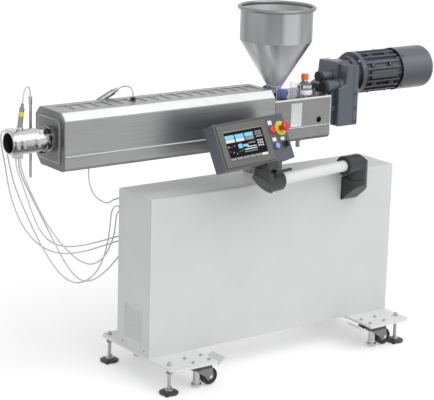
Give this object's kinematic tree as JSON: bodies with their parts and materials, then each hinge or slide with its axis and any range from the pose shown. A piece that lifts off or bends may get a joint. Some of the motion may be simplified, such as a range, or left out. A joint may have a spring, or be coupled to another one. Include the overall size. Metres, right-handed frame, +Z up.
{
  "type": "laboratory plastics extruder",
  "caption": "Single-screw laboratory plastics extruder on a grey cabinet with castors, slotted steel barrel guard, open hopper, blue-grey drive and swing-arm touch panel",
  "frame": {"origin": "floor level under the middle of the machine's outline", "axes": "+X along the barrel from die to drive, +Y to the back, +Z up"},
  "size_m": [2.103, 0.6215, 1.512],
  "materials": {
    "plate_grey": "satin powder coat",
    "black_rubber": "matte",
    "zinc_steel": "zinc plated",
    "cabinet_grey": "fine texture powder coat",
    "stainless": "brushed",
    "dark_steel": "matte",
    "bright_steel": "turned",
    "black_plastic": "matte",
    "blue_plastic": "satin",
    "clear_plastic": "clear",
    "orange_plastic": "satin",
    "drive_blue": "semi-gloss enamel",
    "elbow_grey": "satin powder coat",
    "tube_white": "satin",
    "panel_slate": "fine texture powder coat",
    "screen_glass": "gloss",
    "red_plastic": "gloss",
    "yellow_plastic": "satin",
    "pale_blue_plastic": "satin",
    "castor_tread": "satin",
    "cable_jacket": "matte",
    "cable_pale": "satin"
  },
  "bodies": {
    "machine": {"base_plates": "plate_grey", "foot_pads": "black_rubber", "foot_stems": "zinc_steel", "castor_heads": "zinc_steel", "cabinet": "cabinet_grey", "side_panels": "cabinet_grey", "pedestal": "stainless", "guard_cover": "stainless", "guard_tray": "stainless", "guard_end_plate": "stainless", "barrel": "dark_steel", "die_flange": "bright_steel", "die_head": "bright_steel", "heater_band": "bright_steel", "melt_sensor": "bright_steel", "conduit_rod": "bright_steel", "guard_sensor": "bright_steel", "cable_glands": "black_plastic", "feed_housing": "stainless", "feed_lid": "stainless", "hopper": "stainless", "throat_collar": "blue_plastic", "clear_shield": "clear_plastic", "sample_bottle": "clear_plastic", "bottle_cap": "orange_plastic", "gearbox": "drive_blue", "rubber_buffers": "black_rubber", "motor_body": "drive_blue", "fan_cowl": "drive_blue", "terminal_box": "drive_blue", "wall_elbow": "elbow_grey", "heater_lead_a": "cable_jacket", "heater_lead_b": "cable_jacket", "heater_lead_c": "cable_jacket", "probe_lead_a": "cable_jacket", "probe_lead_b": "cable_jacket", "tray_lead": "cable_jacket", "melt_lead": "cable_pale", "guard_lead": "cable_pale"},
    "swing_arm": {"arm_elbow": "elbow_grey", "arm_tube": "tube_white", "end_elbow": "elbow_grey", "clamp_lever": "black_plastic"},
    "operator_panel": {"panel_coupling": "elbow_grey", "panel_case": "panel_slate", "screen_bezel": "black_plastic", "touch_screen": "screen_glass", "red_lamp": "red_plastic", "stop_ring": "yellow_plastic"},
    "stop_head": {"stop_button": "red_plastic"},
    "push_button": {"blue_button": "pale_blue_plastic"},
    "selector": {"selector_knob": "black_plastic"},
    "castor_swivel_front_left": {"castor_fork_front_left": "zinc_steel"},
    "castor_roller_front_left": {"castor_wheel_front_left": "castor_tread"},
    "castor_swivel_rear_left": {"castor_fork_rear_left": "zinc_steel"},
    "castor_roller_rear_left": {"castor_wheel_rear_left": "castor_tread"},
    "castor_swivel_front_right": {"castor_fork_front_right": "zinc_steel"},
    "castor_roller_front_right": {"castor_wheel_front_right": "castor_tread"},
    "castor_swivel_rear_right": {"castor_fork_rear_right": "zinc_steel"},
    "castor_roller_rear_right": {"castor_wheel_rear_right": "castor_tread"}
  },
  "joints": [
    {"name": "arm_swivel", "type": "hinge", "parent": "machine", "child": "swing_arm", "pos_m": [0.558, -0.1281, 0.765], "axis": [0, 0, 1], "range_deg": [0, 81]},
    {"name": "panel_swivel", "type": "hinge", "parent": "swing_arm", "child": "operator_panel", "pos_m": [-0.02786, -0.21984, 0.905], "axis": [0, 0, 1], "range_deg": [-20, 30]},
    {"name": "stop_press", "type": "slide", "parent": "operator_panel", "child": "stop_head", "axis": [-0.1388, 0.8865, -0.4415], "range_m": [0, 0.005]},
    {"name": "button_press", "type": "slide", "parent": "operator_panel", "child": "push_button", "axis": [-0.1388, 0.8865, -0.4415], "range_m": [0, 0.003]},
    {"name": "selector_turn", "type": "hinge", "parent": "operator_panel", "child": "selector", "pos_m": [0.07274, -0.2327, 0.9921], "axis": [-0.1388, 0.8865, -0.4415], "range_deg": [-45, 45]},
    {"name": "swivel_front_left", "type": "hinge", "parent": "machine", "child": "castor_swivel_front_left", "pos_m": [-0.307, -0.1791, 0.09], "axis": [0, 0, 1], "continuous": true},
    {"name": "roll_front_left", "type": "hinge", "parent": "castor_swivel_front_left", "child": "castor_roller_front_left", "pos_m": [-0.247, -0.1791, 0.04], "axis": [0, 1, 0], "continuous": true},
    {"name": "swivel_rear_left", "type": "hinge", "parent": "machine", "child": "castor_swivel_rear_left", "pos_m": [-0.307, 0.2509, 0.09], "axis": [0, 0, 1], "continuous": true},
    {"name": "roll_rear_left", "type": "hinge", "parent": "castor_swivel_rear_left", "child": "castor_roller_rear_left", "pos_m": [-0.247, 0.2509, 0.04], "axis": [0, 1, 0], "continuous": true},
    {"name": "swivel_front_right", "type": "hinge", "parent": "machine", "child": "castor_swivel_front_right", "pos_m": [0.643, -0.1791, 0.09], "axis": [0, 0, 1], "continuous": true},
    {"name": "roll_front_right", "type": "hinge", "parent": "castor_swivel_front_right", "child": "castor_roller_front_right", "pos_m": [0.703, -0.1791, 0.04], "axis": [0, 1, 0], "continuous": true},
    {"name": "swivel_rear_right", "type": "hinge", "parent": "machine", "child": "castor_swivel_rear_right", "pos_m": [0.643, 0.2509, 0.09], "axis": [0, 0, 1], "continuous": true},
    {"name": "roll_rear_right", "type": "hinge", "parent": "castor_swivel_rear_right", "child": "castor_roller_rear_right", "pos_m": [0.703, 0.2509, 0.04], "axis": [0, 1, 0], "continuous": true}
  ]
}
